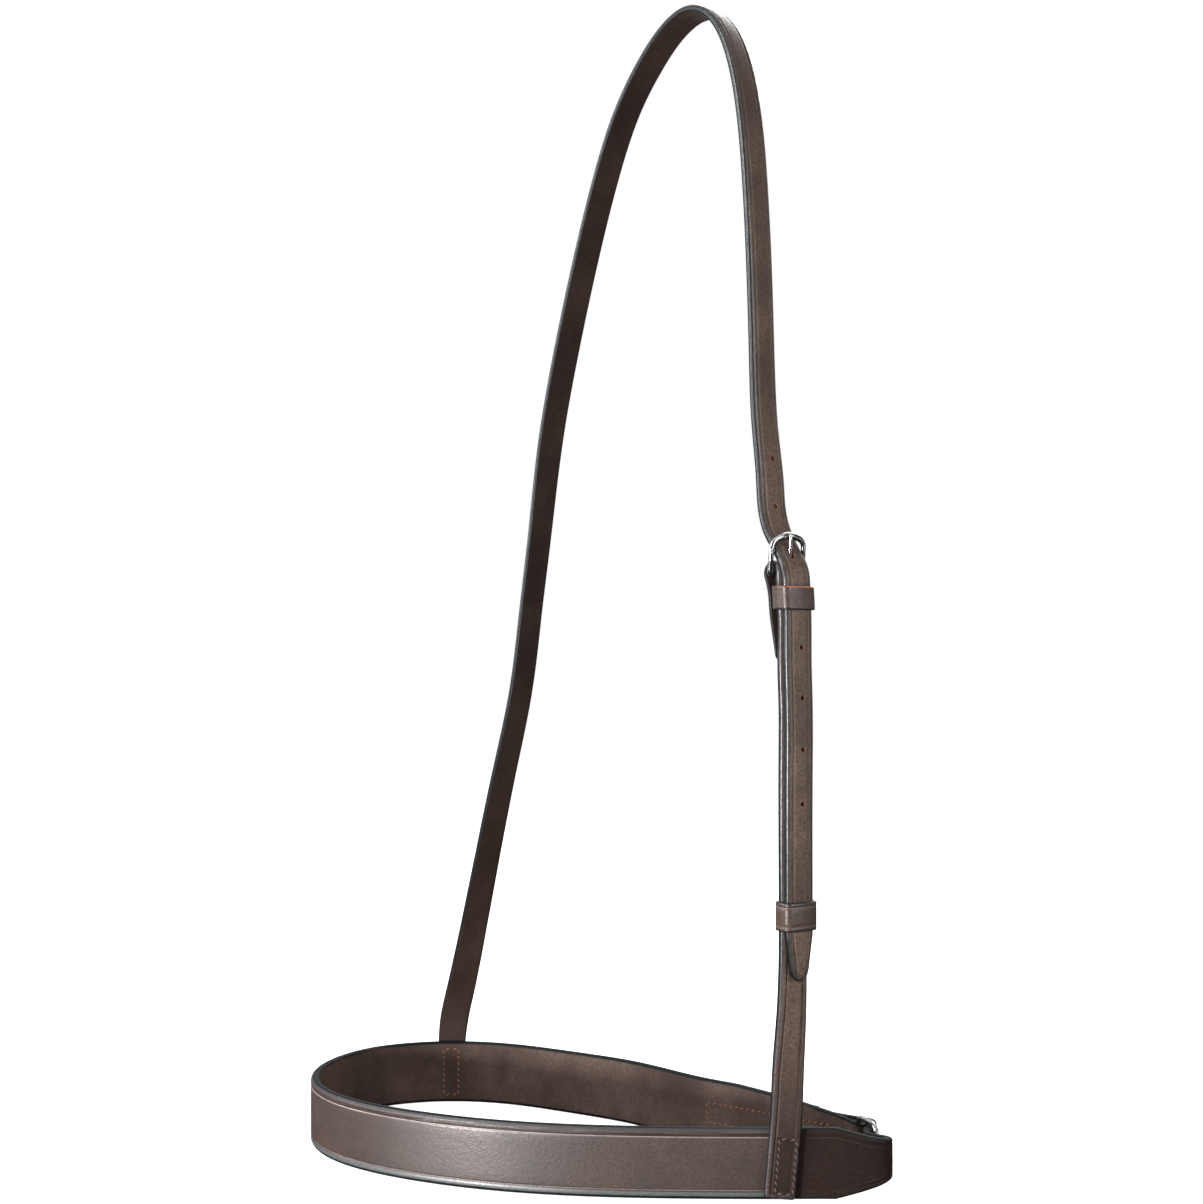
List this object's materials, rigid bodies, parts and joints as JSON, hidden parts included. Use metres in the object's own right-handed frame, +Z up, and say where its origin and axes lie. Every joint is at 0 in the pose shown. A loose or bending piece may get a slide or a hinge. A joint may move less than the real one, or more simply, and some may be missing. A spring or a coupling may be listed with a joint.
{
  "type": "bridle noseband",
  "caption": "Plain flat leather bridle noseband: wide buckled nose band with a narrow sliphead that goes over the poll and buckles on the near cheek.",
  "frame": {"origin": "centre of the bounding box in plan, at the height of the wide band's lower edge", "axes": "+Z up along the horse's cheek, -X to the front of the nose, -Y to the near (left) side"},
  "size_m": [0.2776, 0.1905, 0.5463],
  "materials": {
    "havana_leather": "satin bridle leather, dyed dark brown, burnished edges",
    "keeper_leather": "satin bridle leather, dyed dark brown, raw orange-brown cut edge",
    "stainless_steel": "polished stainless steel",
    "cream_brown_thread": "waxed thread on the outer faces",
    "rust_brown_thread": "waxed thread on the inner faces"
  },
  "bodies": {
    "noseband": {"nose_band": "havana_leather", "sliphead_strap": "havana_leather", "near_cheek_strap": "havana_leather", "cheek_fixed_keeper": "keeper_leather", "rear_keeper_by_buckle": "keeper_leather", "rear_keeper_by_point": "keeper_leather", "near_seam_top_thread": "cream_brown_thread", "near_seam_bobbin_thread": "rust_brown_thread", "off_seam_top_thread": "cream_brown_thread", "off_seam_bobbin_thread": "rust_brown_thread", "cheek_turnback_top_thread": "cream_brown_thread", "cheek_turnback_bobbin_thread": "rust_brown_thread", "rear_turnback_top_thread": "cream_brown_thread", "rear_turnback_bobbin_thread": "rust_brown_thread"},
    "cheek_buckle": {"cheek_buckle_frame": "stainless_steel"},
    "cheek_tongue": {"cheek_buckle_tongue": "stainless_steel"},
    "rear_buckle": {"rear_buckle_frame": "stainless_steel"},
    "rear_tongue": {"rear_buckle_tongue": "stainless_steel"},
    "sliding_keeper": {"cheek_sliding_keeper": "keeper_leather"}
  },
  "joints": [
    {"name": "cheek_buckle_lift", "type": "hinge", "parent": "noseband", "child": "cheek_buckle", "pos_m": [0.08891, -0.08226, 0.2805], "axis": [0.8556, 0.5141, 0.061], "range_deg": [0, 4]},
    {"name": "cheek_tongue_lift", "type": "hinge", "parent": "cheek_buckle", "child": "cheek_tongue", "pos_m": [0.08891, -0.08226, 0.2805], "axis": [0.8556, 0.5141, 0.061], "range_deg": [0, 4]},
    {"name": "rear_buckle_lift", "type": "hinge", "parent": "noseband", "child": "rear_buckle", "pos_m": [0.1276, -0.03773, 0.016], "axis": [0, 0, 1], "range_deg": [0, 4]},
    {"name": "rear_tongue_lift", "type": "hinge", "parent": "rear_buckle", "child": "rear_tongue", "pos_m": [0.1276, -0.03773, 0.016], "axis": [0, 0, 1], "range_deg": [0, 4]},
    {"name": "sliding_keeper_slide", "type": "slide", "parent": "noseband", "child": "sliding_keeper", "axis": [0, 0, 1], "range_m": [-0.012, 0.09]}
  ]
}
